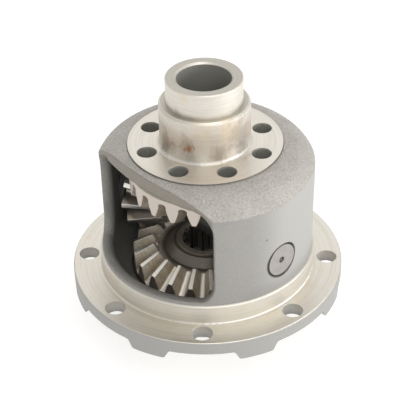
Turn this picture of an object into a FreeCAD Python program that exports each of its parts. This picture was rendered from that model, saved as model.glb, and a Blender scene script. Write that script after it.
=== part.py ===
import FreeCAD, Part
import math
import os

import Sketcher
from FreeCAD import Placement, Rotation, Vector

# Open bevel-gear differential in a one-piece cast case, in millimetres.
# The origin is the centre of the ring-gear seat, the flange's upper face. +Z runs up the axle axis
# through the upper bearing journal, and the cross pin lies along X. The case has a window on each
# side. The front one, towards -Y, cuts into the dome; the back one, towards +Y, ends below it.

DIMENSIONS = {
    # Case, outside: radii from the axle axis, heights from the ring-gear seat
    "journal_radius": 25.0,
    "journal_length": 17.0,
    "journal_chamfer": 0.6,
    "shoulder_radius": 29.8,
    "shoulder_top": 125.0,
    "shoulder_chamfer": 1.5,
    "disc_radius": 51.0,
    "disc_top": 94.5,
    "disc_step": 1.2,
    "disc_fillet": 2.5,
    "dome_crown_radius": 23.2,
    "wall_radius": 72.15,
    "wall_top": 79.9,
    "register_radius": 73.3,
    "register_height": 13.85,
    "flange_radius": 92.8,
    "flange_depth": 15.3,
    "flange_chamfer": 0.7,
    "register_fillet": 1.2,
    "lower_shoulder_length": 19.0,
    "lower_shoulder_fillet": 3.0,
    # Case, holes
    "bore_radius": 17.75,
    "bore_chamfer": 1.3,
    "dog_circle_radius": 40.0,
    "dog_hole_radius": 6.5,
    "dog_hole_depth": 10.0,
    "bolt_circle_radius": 82.5,
    "bolt_hole_radius": 6.9,
    "hole_count": 8,
    "relief_depth": 6.4,
    "relief_half_width": 21.4,
    "relief_slant": 3.2,
    "relief_inner_radius": 69.0,
    "relief_fillet": 2.2,
    # Case, inside: distances from the cross-pin axis along the axle axis
    "pin_height": 35.9,
    "seat_distance": 44.1,
    "gear_pocket_radius": 52.6,
    "cavity_radius": 64.5,
    "cavity_bowl_radius": 26.0,
    "cavity_bowl_top": 14.0,
    "cavity_bowl_bottom": -3.0,
    "spider_seat_radius": 61.4,
    "spider_boss_radius": 29.0,
    "hub_bore_radius": 22.05,
    "hub_bore_depth": 19.5,
    # Windows: the jambs are radial, at the given half width in the wall's outer face
    "window_half_width": 56.3,
    "window_sill": 16.2,
    "window_head": 83.6,
    "window_sill_corner": 14.0,
    "window_head_corner": 17.0,
    "back_window_head": 68.0,
    "window_outer_fillet": 1.2,
    "window_inner_fillet": 3.0,
    "lip_bow_radius": 163.5,
    "lip_middle_y": 55.5,
    "lip_inner_y": 40.0,
    "lip_cut_floor": 76.0,
    # Bevel gears: angles in degrees, distances from the apex where the pin and axle axes cross
    "gear_module": 4.64,
    "side_gear_teeth": 22,
    "spider_gear_teeth": 13,
    "pressure_angle": 22.5,
    "side_addendum": 3.8,
    "side_dedendum": 6.2,
    "spider_addendum": 5.0,
    "spider_dedendum": 4.8,
    "side_tooth_thickness": 6.35,
    "backlash": 0.3,
    "root_rounding": 2.2,
    "side_gear_turn": -2.0,
    # Side gear blank: radii, and distances from the apex along the gear's own axis
    "side_heel_radius": 51.2,
    "side_heel_start": 24.5,
    "side_back": 42.1,
    "side_back_chamfer": 1.2,
    "side_hub_face": 19.4,
    "side_hub_radius": 21.0,
    "side_hub_ledge": 20.6,
    "side_hub_ledge_radius": 23.4,
    "side_hub_foot_radius": 28.4,
    "side_toe_distance": 42.6,
    "side_toe_floor": 26.0,
    "side_toe_outer": 17.9,
    "side_journal_radius": 22.0,
    "side_journal_end": 61.0,
    # Splines of the side gear's bore
    "spline_count": 12,
    "spline_minor_radius": 15.0,
    "spline_major_radius": 17.4,
    "spline_inner_width": 4.7,
    "spline_outer_width": 3.6,
    "spline_turn": 4.0,
    # Spider gear
    "spider_back_radius": 60.0,
    "spider_toe_distance": 33.5,
    "spider_face": 29.0,
    "spider_face_radius": 13.4,
    "spider_face_bevel": 1.0,
    "spider_bore_radius": 12.05,
    # Thrust washers
    "thrust_washer_inner_radius": 23.0,
    "thrust_washer_outer_radius": 45.0,
    "thrust_washer_thickness": 1.85,
    "spider_washer_inner_radius": 12.6,
    "spider_washer_outer_radius": 26.5,
    "spider_washer_thickness": 1.2,
    # Cross pin and its lock
    "pin_radius": 12.0,
    "pin_bore_radius": 12.02,
    "pin_mouth_radius": 12.75,
    "pin_mouth_depth": 1.8,
    "pin_half_length": 71.6,
    "pin_chamfer": 0.8,
    "centre_mark_radius": 2.3,
    "centre_mark_depth": 2.6,
    "oil_flat_depth": 0.5,
    "oil_flat_start": 39.0,
    "oil_flat_length": 19.0,
    "lock_position": 66.7,
    "lock_radius": 3.0,
    "lock_wall": 0.9,
    "lock_slot_width": 1.0,
    "lock_length": 46.0,
    "lock_top": 50.0,
    "lock_hole_top": 52.0,
}

DOCUMENT = FreeCAD.newDocument("Differential")
SHEET = DOCUMENT.addObject("Spreadsheet::Sheet", "Dimensions")


class Size:
    """A length that carries both its number and the expression that gives it in the document."""

    def __init__(self, value, text):
        self.value = value
        self.text = text

    def __add__(self, other):
        return Size(self.value + other.value, f"({self.text} + {other.text})")

    def __sub__(self, other):
        return Size(self.value - other.value, f"({self.text} - {other.text})")

    def __neg__(self):
        return Size(-self.value, f"(-1 * {self.text})")

    def __mul__(self, factor):
        return Size(self.value * factor, f"({self.text} * {factor})")


ZERO = Size(0.0, "0")


def fixed(value):
    """A constant that isn't a driving dimension, such as how far a cutter runs past a face."""
    return Size(value, str(value))


def fill_sheet():
    for row, (alias, value) in enumerate(DIMENSIONS.items(), start=1):
        SHEET.set(f"A{row}", alias)
        SHEET.set(f"B{row}", str(value))
        SHEET.setAlias(f"B{row}", alias)
    DOCUMENT.recompute()


def size(alias):
    """A driving dimension, read from the sheet."""
    return Size(float(SHEET.get(alias)), f"Dimensions.{alias}")


def bind(item, **sizes):
    """Set properties of an object, and keep them bound to the sheet."""
    for name, value in sizes.items():
        setattr(item, name, value.value)
        item.setExpression(name, value.text)
    return item


def place(item, x=ZERO, y=ZERO, z=ZERO, rotation=None):
    """Put an object at a point that stays bound to the sheet."""
    base = Vector(x.value, y.value, z.value)
    item.Placement = Placement(base, rotation or Rotation())
    for axis, value in (("x", x), ("y", y), ("z", z)):
        if value is not ZERO:
            item.setExpression(f"Placement.Base.{axis}", value.text)
    return item


X_AXIS = Vector(1, 0, 0)
Y_AXIS = Vector(0, 1, 0)
Z_AXIS = Vector(0, 0, 1)

# Rotations that lay an object's own +Z along another axis
TO_PLUS_X = Rotation(Y_AXIS, 90)
TO_MINUS_X = Rotation(Y_AXIS, -90)
TO_MINUS_Z = Rotation(X_AXIS, 180)


# ---------------------------------------------------------------- simple solids and booleans


def cylinder(name, radius, height):
    return bind(DOCUMENT.addObject("Part::Cylinder", name), Radius=radius, Height=height)


def sphere(name, radius):
    return bind(DOCUMENT.addObject("Part::Sphere", name), Radius=radius)


def cone(name, first, second, height):
    return bind(DOCUMENT.addObject("Part::Cone", name), Radius1=first, Radius2=second, Height=height)


def box(name, length, width, height):
    return bind(DOCUMENT.addObject("Part::Box", name), Length=length, Width=width, Height=height)


def cut(name, base, tool):
    item = DOCUMENT.addObject("Part::Cut", name)
    item.Base = base
    item.Tool = tool
    return item


def common(name, base, tool):
    item = DOCUMENT.addObject("Part::Common", name)
    item.Base = base
    item.Tool = tool
    return item


def fuse(name, shapes):
    item = DOCUMENT.addObject("Part::MultiFuse", name)
    item.Shapes = shapes
    return item


# ---------------------------------------------------------------- bodies and sketches


def origin_plane(body, role):
    for feature in body.Origin.OriginFeatures:
        if feature.Role == role:
            return feature
    raise ValueError(role)


def new_sketch(body, name, role, offset=None):
    sketch = body.newObject("Sketcher::SketchObject", name)
    sketch.AttachmentSupport = [(origin_plane(body, role), "")]
    sketch.MapMode = "FlatFace"
    if offset is not None:
        sketch.AttachmentOffset = Placement(Vector(0, 0, offset.value), Rotation())
        sketch.setExpression("AttachmentOffset.Base.z", offset.text)
    return sketch


def pin_coordinate(sketch, kind, geometry, end, value, label):
    """Hold one coordinate of a curve's end at a distance from the sketch's origin."""
    index = sketch.addConstraint(Sketcher.Constraint(kind, -1, 1, geometry, end, value.value))
    sketch.renameConstraint(index, label)
    sketch.setExpression(f"Constraints.{label}", value.text)


def arc_between(start, end, radius, bulge_left):
    """Arc of a circle from start to end, with the bulge on the left or right of that direction.

    Returns the curve and the ends (1 or 2) at which it meets start and end.
    """
    chord = end - start
    middle = (start + end) * 0.5
    left = Vector(-chord.y, chord.x, 0).normalize()
    reach = math.sqrt(radius**2 - chord.Length**2 / 4)
    centre = middle - left * reach if bulge_left else middle + left * reach
    first, last = (end, start) if bulge_left else (start, end)
    first_angle = math.atan2(first.y - centre.y, first.x - centre.x)
    last_angle = math.atan2(last.y - centre.y, last.x - centre.x)
    if last_angle < first_angle:
        last_angle += 2 * math.pi
    curve = Part.ArcOfCircle(Part.Circle(centre, Z_AXIS, radius), first_angle, last_angle)
    return curve, (2, 1) if bulge_left else (1, 2)


def closed_outline(sketch, corners, arcs=None):
    """Draw a closed outline through corners, each a pair of sizes.

    arcs gives, for the number of a corner, the radius and bulge side of the arc that leaves it.
    """
    arcs = arcs or {}
    points = [Vector(x.value, y.value, 0) for x, y in corners]
    count = len(points)
    curve_ends = []
    for number in range(count):
        start = points[number]
        end = points[(number + 1) % count]
        if number in arcs:
            radius, bulge_left = arcs[number]
            curve, ends = arc_between(start, end, radius.value, bulge_left)
        else:
            curve, ends = Part.LineSegment(start, end), (1, 2)
        sketch.addGeometry(curve, False)
        curve_ends.append(ends)
    for number in range(count):
        following = (number + 1) % count
        joint = (number, curve_ends[number][1], following, curve_ends[following][0])
        sketch.addConstraint(Sketcher.Constraint("Coincident", *joint))
    for number, (x, y) in enumerate(corners):
        end = curve_ends[number][0]
        pin_coordinate(sketch, "DistanceX", number, end, x, f"x_{number}")
        pin_coordinate(sketch, "DistanceY", number, end, y, f"y_{number}")
    for number, (radius, _) in arcs.items():
        index = sketch.addConstraint(Sketcher.Constraint("Radius", number, radius.value))
        sketch.renameConstraint(index, f"radius_{number}")
        sketch.setExpression(f"Constraints.radius_{number}", radius.text)
    return sketch


def circle_sketch(body, name, role, radius, x=ZERO, y=ZERO, offset=None):
    sketch = new_sketch(body, name, role, offset)
    centre = Vector(x.value, y.value, 0)
    sketch.addGeometry(Part.Circle(centre, Z_AXIS, radius.value), False)
    pin_coordinate(sketch, "DistanceX", 0, 3, x, "centre_x")
    pin_coordinate(sketch, "DistanceY", 0, 3, y, "centre_y")
    index = sketch.addConstraint(Sketcher.Constraint("Radius", 0, radius.value))
    sketch.renameConstraint(index, "radius")
    sketch.setExpression("Constraints.radius", radius.text)
    return sketch


def revolved_body(name, corners, arcs=None):
    """A body turned about Z from an outline of (radius, height) corners."""
    body = DOCUMENT.addObject("PartDesign::Body", name)
    sketch = closed_outline(new_sketch(body, f"{name}Outline", "XZ_Plane"), corners, arcs)
    turning = body.newObject("PartDesign::Revolution", f"{name}Turning")
    turning.Profile = sketch
    turning.ReferenceAxis = (sketch, ["V_Axis"])
    turning.Angle = 360
    body.Tip = turning
    DOCUMENT.recompute()
    return body


def circle_edges(shape, rings):
    """Names of the circular edges about Z at each (radius, height) ring."""
    names = []
    for number, edge in enumerate(shape.Edges, start=1):
        if not isinstance(edge.Curve, Part.Circle):
            continue
        centre = edge.Curve.Center
        for radius, height in rings:
            near = abs(edge.Curve.Radius - radius.value) < 0.01 and abs(centre.z - height.value) < 0.01
            if near and math.hypot(centre.x, centre.y) < 0.01:
                names.append(f"Edge{number}")
    return names


def dress(body, kind, name, amount, rings):
    """Add a Fillet (Radius) or a Chamfer (Size) on the circular edges at the given rings."""
    base = body.Tip
    names = circle_edges(base.Shape, rings)
    if not names:
        raise ValueError(f"{name}: no edges")
    feature = body.newObject(f"PartDesign::{kind}", name)
    feature.Base = (base, names)
    bind(feature, **{"Radius" if kind == "Fillet" else "Size": amount})
    body.Tip = feature
    DOCUMENT.recompute()
    return feature


def padded(body, name, sketch, length):
    """Extend a sketch into a solid along its normal."""
    pad = body.newObject("PartDesign::Pad", name)
    pad.Profile = sketch
    bind(pad, Length=length)
    body.Tip = pad
    DOCUMENT.recompute()
    return pad


def repeat(pattern, count):
    """Set how many times a polar pattern repeats, a whole number bound to the sheet."""
    pattern.Occurrences = int(count.value)
    pattern.setExpression("Occurrences", count.text)


def ring_of_pockets(body, name, sketch, count, depth=None, reverse=False, through=False, turn=0.0):
    """Pocket a sketch, and repeat the pocket evenly about Z."""
    pocket = body.newObject("PartDesign::Pocket", f"{name}Pocket")
    pocket.Profile = sketch
    pocket.Reversed = reverse
    if through:
        pocket.Type = "ThroughAll"
        pocket.Midplane = True
    else:
        bind(pocket, Length=depth)
    volume_before = body.Shape.Volume
    body.Tip = pocket
    DOCUMENT.recompute()
    if body.Shape.Volume > volume_before - 1.0:
        raise ValueError(f"{name}: the pocket cuts nothing")
    pattern = body.newObject("PartDesign::PolarPattern", f"{name}Ring")
    pattern.Originals = [pocket]
    pattern.Axis = (origin_plane(body, "Z_Axis"), [""])
    pattern.Angle = 360
    repeat(pattern, count)
    body.Tip = pattern
    DOCUMENT.recompute()
    return pattern


# ---------------------------------------------------------------- case


def case_turning():
    """The case as it is turned and drilled outside, still solid inside."""
    shoulder_end = -(size("flange_depth") + size("lower_shoulder_length"))
    lower_end = shoulder_end - size("journal_length")
    upper_end = size("shoulder_top") + size("journal_length")
    dome_edge = size("disc_top") - size("disc_step")
    body = revolved_body("CaseTurning", [
        (ZERO, lower_end),
        (size("journal_radius"), lower_end),
        (size("journal_radius"), shoulder_end),
        (size("shoulder_radius"), shoulder_end),
        (size("shoulder_radius"), -size("flange_depth")),
        (size("flange_radius"), -size("flange_depth")),
        (size("flange_radius"), ZERO),
        (size("register_radius"), ZERO),
        (size("register_radius"), size("register_height")),
        (size("wall_radius"), size("register_height")),
        (size("wall_radius"), size("wall_top")),
        (size("disc_radius"), dome_edge),
        (size("disc_radius"), size("disc_top")),
        (size("shoulder_radius"), size("disc_top")),
        (size("shoulder_radius"), size("shoulder_top")),
        (size("journal_radius"), size("shoulder_top")),
        (size("journal_radius"), upper_end),
        (ZERO, upper_end),
    ], {10: (size("dome_crown_radius"), False)})
    dress(body, "Fillet", "DiscFillet", size("disc_fillet"),
          [(size("shoulder_radius"), size("disc_top"))])
    dress(body, "Fillet", "RegisterFillet", size("register_fillet"),
          [(size("register_radius"), ZERO)])
    dress(body, "Fillet", "LowerShoulderFillet", size("lower_shoulder_fillet"),
          [(size("shoulder_radius"), -size("flange_depth"))])
    dress(body, "Chamfer", "ShoulderChamfer", size("shoulder_chamfer"),
          [(size("shoulder_radius"), size("shoulder_top")), (size("shoulder_radius"), shoulder_end)])
    dress(body, "Chamfer", "JournalChamfer", size("journal_chamfer"),
          [(size("journal_radius"), upper_end), (size("journal_radius"), lower_end)])
    dress(body, "Chamfer", "FlangeChamfer", size("flange_chamfer"),
          [(size("flange_radius"), ZERO), (size("register_radius"), size("register_height"))])
    add_reliefs(body)
    bolt_holes = circle_sketch(body, "BoltHole", "XY_Plane", size("bolt_hole_radius"),
                               x=size("bolt_circle_radius"))
    ring_of_pockets(body, "BoltHoles", bolt_holes, size("hole_count"), through=True)
    half_step = math.pi / DIMENSIONS["hole_count"]
    dog_x = size("dog_circle_radius") * round(math.cos(half_step), 9)
    dog_y = size("dog_circle_radius") * round(math.sin(half_step), 9)
    dog_holes = circle_sketch(body, "DogHole", "XY_Plane", size("dog_hole_radius"), dog_x, dog_y,
                              offset=size("disc_top"))
    ring_of_pockets(body, "DogHoles", dog_holes, size("hole_count"), depth=size("dog_hole_depth"))
    return body


def add_reliefs(body):
    """The slots under the flange that seat the bolt heads and leave a pad between each two."""
    ceiling = size("relief_depth") - size("flange_depth")
    overrun = fixed(2.0)
    slope = DIMENSIONS["relief_slant"] / DIMENSIONS["relief_depth"]
    mouth = size("relief_half_width") + size("relief_slant") + overrun * round(slope, 6)
    sketch = closed_outline(
        new_sketch(body, "Relief", "YZ_Plane", offset=size("relief_inner_radius")), [
            (size("relief_half_width"), ceiling),
            (-size("relief_half_width"), ceiling),
            (-mouth, -(size("flange_depth") + overrun)),
            (mouth, -(size("flange_depth") + overrun)),
        ])
    depth = size("flange_radius") - size("relief_inner_radius") + overrun
    ring_of_pockets(body, "Reliefs", sketch, size("hole_count"), depth=depth, reverse=True)
    soften_reliefs(body)


def soften_reliefs(body):
    """Round the straight radial edges of the reliefs, as cast."""
    base = body.Tip
    names = []
    bottom = -DIMENSIONS["flange_depth"]
    ceiling = bottom + DIMENSIONS["relief_depth"]
    for number, edge in enumerate(base.Shape.Edges, start=1):
        if not isinstance(edge.Curve, Part.Line) or edge.Length < 10:
            continue
        heights = [vertex.Z for vertex in edge.Vertexes]
        flat = abs(heights[0] - heights[1]) < 0.01
        start, end = (vertex.Point for vertex in edge.Vertexes)
        outward = abs(math.hypot(start.x, start.y) - math.hypot(end.x, end.y)) > 10
        if flat and outward and min(abs(heights[0] - bottom), abs(heights[0] - ceiling)) < 0.01:
            names.append(f"Edge{number}")
    feature = body.newObject("PartDesign::Fillet", "ReliefFillet")
    feature.Base = (base, names)
    bind(feature, Radius=size("relief_fillet"))
    body.Tip = feature
    DOCUMENT.recompute()


def gear_space():
    """The room inside the case: a round cavity, seats for the spider washers, and gear pockets."""
    pin_height = size("pin_height")
    seat = size("seat_distance")
    cavity = revolved_body("Cavity", [
        (ZERO, pin_height - seat),
        (size("gear_pocket_radius"), pin_height - seat),
        (size("gear_pocket_radius"), size("cavity_bowl_bottom")),
        (size("cavity_radius"), size("cavity_bowl_top")),
        (size("cavity_radius"), size("window_head")),
        (size("gear_pocket_radius"), size("window_head")),
        (size("gear_pocket_radius"), pin_height + seat),
        (ZERO, pin_height + seat),
    ], {2: (size("cavity_bowl_radius"), False)})
    bosses = boss_cylinder("SpiderBosses")
    seat_ball = place(sphere("SpiderSeatBall", size("spider_seat_radius")), z=pin_height)
    seats = common("SpiderSeats", seat_ball, boss_cylinder("SpiderSeatRims"))
    reach = seat + size("hub_bore_depth")
    hubs = place(cylinder("HubBores", size("hub_bore_radius"), reach * 2), z=pin_height - reach)
    return fuse("GearSpace", [cut("CavityWithBosses", cavity, bosses), seats, hubs])


def boss_cylinder(name):
    """The round bosses inside the wall, about the cross pin's axis."""
    return place(cylinder(name, size("spider_boss_radius"), size("cavity_radius") * 2),
                 x=-size("cavity_radius"), z=size("pin_height"), rotation=TO_PLUS_X)


def slanted_side(name, side, high):
    """A prism that bounds a window by one radial jamb, with its sill and head corners rounded."""
    half = size("window_half_width")
    wall = DIMENSIONS["wall_radius"]
    depth = math.sqrt(wall**2 - half.value**2)
    outward = 60.0
    inward = 20.0
    near = half + fixed(round(outward * half.value / depth, 6))
    far = -size("register_radius") * 2
    low = size("window_sill")
    sill_corner = size("window_sill_corner")
    head_corner = size("window_head_corner")
    sketch = DOCUMENT.addObject("Sketcher::SketchObject", f"{name}Outline")
    closed_outline(sketch, [
        (far, low),
        (near - sill_corner, low),
        (near, low + sill_corner),
        (near, high - head_corner),
        (near - head_corner, high),
        (far, high),
    ], {1: (sill_corner, False), 3: (head_corner, False)})
    facing = Rotation(X_AXIS, 90)
    if side < 0:
        facing = Rotation(Z_AXIS, 180) * facing
    sketch.Placement = Placement(Vector(0, -(depth + outward), 0), facing)
    prism = DOCUMENT.addObject("Part::Extrusion", name)
    prism.Base = sketch
    prism.DirMode = "Custom"
    prism.Dir = Vector(-side * half.value, depth, 0).normalize()
    prism.LengthFwd = (outward + inward) * wall / depth
    prism.Solid = True
    return prism


def window_tool(name, head):
    """What a window towards -Y removes from the wall, up to the height of its head."""
    opening = common(f"{name}Opening",
                     slanted_side(f"{name}Right", 1, head), slanted_side(f"{name}Left", -1, head))
    below = fixed(10.0)
    tall = below * 3 + head
    outer = place(cylinder(f"{name}WallOutside", size("wall_radius"), tall), z=-below)
    inner = place(cylinder(f"{name}WallInside", size("cavity_radius"), tall), z=-below)
    wall = cut(f"{name}Wall", outer, inner)
    pierced = cut(f"{name}Pierced", wall, opening)
    DOCUMENT.recompute()
    rounded = DOCUMENT.addObject("Part::Fillet", f"{name}Rounded")
    rounded.Base = pierced
    rounded.Edges = window_rim_edges(pierced.Shape, head.value)
    tool = cut(name, wall, rounded)
    DOCUMENT.recompute()
    return tool


def dome_trim():
    """The front of the dome above the front window, back to the bowed face of its lip."""
    tall = fixed(40.0)
    overrun = fixed(10.0)
    width = size("flange_radius") * 2
    front = place(box("DomeFront", width, width, tall),
                  x=-size("flange_radius"), y=-(width + size("lip_inner_y")), z=size("lip_cut_floor"))
    bow = place(cylinder("LipBow", size("lip_bow_radius"), tall + overrun * 2),
                y=size("lip_bow_radius") - size("lip_middle_y"), z=size("lip_cut_floor") - overrun)
    return cut("DomeTrim", front, bow)


def pin_bore():
    """The cross-pin bore right through the case, with a flared mouth at each end."""
    length = size("register_radius") * 2
    start = -size("register_radius")
    bore = place(cylinder("PinBore", size("pin_bore_radius"), length),
                 x=start, z=size("pin_height"), rotation=TO_PLUS_X)
    depth = size("pin_mouth_depth")
    flare = size("pin_mouth_radius") - size("pin_bore_radius")
    cones = []
    for name, direction, side in (("RightMouth", TO_PLUS_X, 1), ("LeftMouth", TO_MINUS_X, -1)):
        mouth = cone(name, size("pin_bore_radius"), size("pin_bore_radius") + flare * 2, depth * 2)
        inner_end = (size("wall_radius") - depth) * side
        cones.append(place(mouth, x=inner_end, z=size("pin_height"), rotation=direction))
    return fuse("PinBoreTool", [bore] + cones)


def axle_bore():
    """The bore through both journals, with a chamfer at each mouth."""
    top = size("shoulder_top") + size("journal_length")
    bottom = -(size("flange_depth") + size("lower_shoulder_length") + size("journal_length"))
    overrun = fixed(1.0)
    bore = place(cylinder("AxleBore", size("bore_radius"), top - bottom + overrun * 2),
                 z=bottom - overrun)
    wide = size("bore_radius") + size("bore_chamfer")
    upper = place(cone("UpperMouth", size("bore_radius"), wide + overrun, size("bore_chamfer") + overrun),
                  z=top - size("bore_chamfer"))
    lower = place(cone("LowerMouth", wide + overrun, size("bore_radius"), size("bore_chamfer") + overrun),
                  z=bottom - overrun)
    return fuse("AxleBoreTool", [bore, upper, lower])


def lock_hole(name):
    """The blind hole for the lock, drilled up from under the flange."""
    depth = size("lock_hole_top") + size("flange_depth") + fixed(1.0)
    return place(cylinder(name, size("lock_radius"), depth),
                 x=-size("lock_position"), z=-(size("flange_depth") + fixed(1.0)))


def window_rim_edges(shape, head):
    """Edge numbers and fillet radii of the window's rims in the outer and inner faces of the wall."""
    rims = [(DIMENSIONS["wall_radius"], DIMENSIONS["window_outer_fillet"]),
            (DIMENSIONS["cavity_radius"], DIMENSIONS["window_inner_fillet"])]
    chosen = []
    for number, edge in enumerate(shape.Edges, start=1):
        first, last = edge.ParameterRange
        samples = [edge.valueAt(first + (last - first) * part / 4) for part in range(5)]
        for wall, radius in rims:
            on_wall = all(abs(math.hypot(p.x, p.y) - wall) < 0.02 for p in samples)
            inside = all(0 < p.z < head + 1 for p in samples)
            if on_wall and inside and samples[0].y < 0:
                chosen.append((number, radius, radius))
    return chosen


def differential_case(label):
    back_window = window_tool("BackWindow", size("back_window_head"))
    back_window.Placement = Placement(Vector(), Rotation(Z_AXIS, 180))
    tools = fuse("CaseTools", [
        gear_space(),
        window_tool("FrontWindow", size("window_head")),
        dome_trim(),
        back_window,
        pin_bore(),
        axle_bore(),
        lock_hole("CaseLockHole"),
    ])
    case = cut(label, case_turning(), tools)
    case.Label = label
    DOCUMENT.recompute()
    return case


# ---------------------------------------------------------------- bevel gear teeth


def involute_angle(polar, base):
    """How far a spherical involute has turned about the gear's axis at a polar angle."""
    if polar <= base:
        return 0.0
    roll = math.acos(math.cos(polar) / math.cos(base))
    return roll / math.sin(base) - math.atan2(math.tan(roll), math.sin(base))


def tooth_numbers(teeth, mate_teeth, addendum, dedendum, thickness):
    """Cone angles and tooth thickness of one bevel gear, in radians."""
    pitch = math.atan2(teeth, mate_teeth)
    module = float(SHEET.get("gear_module"))
    cone_distance = module * teeth / 2 / math.sin(pitch)
    pressure = math.radians(float(SHEET.get("pressure_angle")))
    return {
        "teeth": teeth,
        "pitch": pitch,
        "tip": pitch + math.atan2(addendum, cone_distance),
        "root": pitch - math.atan2(dedendum, cone_distance),
        "base": math.asin(math.sin(pitch) * math.cos(pressure)),
        "half_thickness": thickness / (module * teeth),
        "rounding": float(SHEET.get("root_rounding")) / cone_distance,
    }


def flank_points(gear, side, centre, steps=8):
    """Flank of the tooth at azimuth centre, from root to tip, on the plane one unit from the apex."""
    start = gear["root"] + gear["rounding"]
    at_pitch = gear["half_thickness"] + involute_angle(gear["pitch"], gear["base"])
    points = []
    for step in range(steps + 1):
        polar = start + (gear["tip"] - start) * step / steps
        azimuth = centre + side * (at_pitch - involute_angle(polar, gear["base"]))
        reach = math.tan(polar)
        points.append(Vector(reach * math.cos(azimuth), reach * math.sin(azimuth), 1))
    return points


def on_plane(polar, azimuth):
    reach = math.tan(polar)
    return Vector(reach * math.cos(azimuth), reach * math.sin(azimuth), 1)


def smooth_edge(points):
    curve = Part.BSplineCurve()
    curve.interpolate(points)
    return curve.toShape()


def arc_edge(first, middle, last):
    return Part.Arc(first, middle, last).toShape()


def toothed_outline(gear, distance):
    """Closed outline of all teeth on the plane at a distance from the apex, as a list of edges."""
    step = 2 * math.pi / gear["teeth"]
    edges = []
    for number in range(gear["teeth"]):
        centre = number * step
        rising = [point * distance for point in flank_points(gear, -1, centre)]
        falling = [point * distance for point in reversed(flank_points(gear, 1, centre))]
        following = flank_points(gear, -1, centre + step)[0] * distance
        edges.append(smooth_edge(rising))
        edges.append(arc_edge(rising[-1], on_plane(gear["tip"], centre) * distance, falling[0]))
        edges.append(smooth_edge(falling))
        valley = on_plane(gear["root"], centre + step / 2) * distance
        edges.append(arc_edge(falling[-1], valley, following))
    return edges


def toothed_cone(name, gear, near, far):
    """Solid between two planes across the gear's axis, bounded by the flanks, tips and roots.

    Every tooth surface is a cone from the apex, so each face is ruled between the same curve at
    two scales.
    """
    near_edges = toothed_outline(gear, near)
    far_edges = toothed_outline(gear, far)
    faces = [Part.makeRuledSurface(low, high) for low, high in zip(near_edges, far_edges)]
    faces.append(Part.Face(Part.Wire(near_edges)))
    faces.append(Part.Face(Part.Wire(far_edges)))
    solid = Part.makeSolid(Part.makeShell(faces))
    if solid.Volume < 0:
        solid.reverse()
    item = DOCUMENT.addObject("Part::Feature", name)
    item.Shape = solid
    return item


def side_gear_teeth():
    return tooth_numbers(
        DIMENSIONS["side_gear_teeth"], DIMENSIONS["spider_gear_teeth"],
        DIMENSIONS["side_addendum"], DIMENSIONS["side_dedendum"],
        DIMENSIONS["side_tooth_thickness"] - DIMENSIONS["backlash"] / 2)


def spider_gear_teeth():
    circular_pitch = math.pi * DIMENSIONS["gear_module"]
    return tooth_numbers(
        DIMENSIONS["spider_gear_teeth"], DIMENSIONS["side_gear_teeth"],
        DIMENSIONS["spider_addendum"], DIMENSIONS["spider_dedendum"],
        circular_pitch - DIMENSIONS["side_tooth_thickness"] - DIMENSIONS["backlash"] / 2)


# ---------------------------------------------------------------- side gears

# How far the toothed cones run past the blanks they trim
TEETH_OVERRUN = 2.0


def on_ball(ball, leg):
    """The other leg of a point on a ball about the apex: its radius from its height, or back."""
    return Size(math.sqrt(ball.value**2 - leg.value**2),
                f"sqrt(({ball.text}) ^ 2 - ({leg.text}) ^ 2)")


def side_gear_blank(name):
    """The side gear before its teeth are cut, with the apex at the origin and its back towards +Z."""
    toe = size("side_toe_distance")
    back_edge = size("side_back") - size("side_back_chamfer")
    return revolved_body(name, [
        (ZERO, size("side_hub_face")),
        (size("side_hub_radius"), size("side_hub_face")),
        (size("side_hub_radius"), size("side_hub_ledge")),
        (size("side_hub_ledge_radius"), size("side_hub_ledge")),
        (size("side_hub_foot_radius"), size("side_toe_floor")),
        (on_ball(toe, size("side_toe_floor")), size("side_toe_floor")),
        (on_ball(toe, size("side_toe_outer")), size("side_toe_outer")),
        (size("side_heel_radius"), size("side_heel_start")),
        (size("side_heel_radius"), back_edge),
        (size("side_heel_radius") - size("side_back_chamfer"), size("side_back")),
        (size("side_journal_radius"), size("side_back")),
        (size("side_journal_radius"), size("side_journal_end")),
        (ZERO, size("side_journal_end")),
    ], {5: (toe, False)})


def spline_tool(name):
    """The splined bore: the round bore and the spaces between the splines."""
    body = DOCUMENT.addObject("PartDesign::Body", name)
    start = size("side_hub_face") - fixed(1.0)
    length = size("side_journal_end") - size("side_hub_face") + fixed(2.0)
    round_part = circle_sketch(body, f"{name}Bore", "XY_Plane", size("spline_minor_radius"), offset=start)
    padded(body, f"{name}BorePad", round_part, length)
    inner = size("spline_inner_width") * 0.5
    outer = size("spline_outer_width") * 0.5
    under = size("spline_minor_radius") - fixed(1.5)
    space = closed_outline(new_sketch(body, f"{name}Space", "XY_Plane", offset=start), [
        (under, -inner),
        (size("spline_major_radius"), -outer),
        (size("spline_major_radius"), outer),
        (under, inner),
    ])
    pad = padded(body, f"{name}SpacePad", space, length)
    pattern = body.newObject("PartDesign::PolarPattern", f"{name}Ring")
    pattern.Originals = [pad]
    pattern.Axis = (origin_plane(body, "Z_Axis"), [""])
    pattern.Angle = 360
    repeat(pattern, size("spline_count"))
    body.Tip = pattern
    return place(body, rotation=Rotation(Z_AXIS, DIMENSIONS["spline_turn"]))


def side_gear(label, rotation):
    blank = side_gear_blank(f"{label}_blank")
    near = DIMENSIONS["side_toe_outer"] - TEETH_OVERRUN
    far = DIMENSIONS["side_journal_end"] + TEETH_OVERRUN
    teeth = toothed_cone(f"{label}_teeth", side_gear_teeth(), near, far)
    gear = cut(label, common(f"{label}_toothed", blank, teeth), spline_tool(f"{label}_splines"))
    gear.Label = label
    return place(gear, z=size("pin_height"), rotation=rotation)


# ---------------------------------------------------------------- spider gears


# How far the blank runs past the tooth tips, in degrees at the apex, before the teeth trim it
SPIDER_BLANK_MARGIN = 1.7


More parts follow.
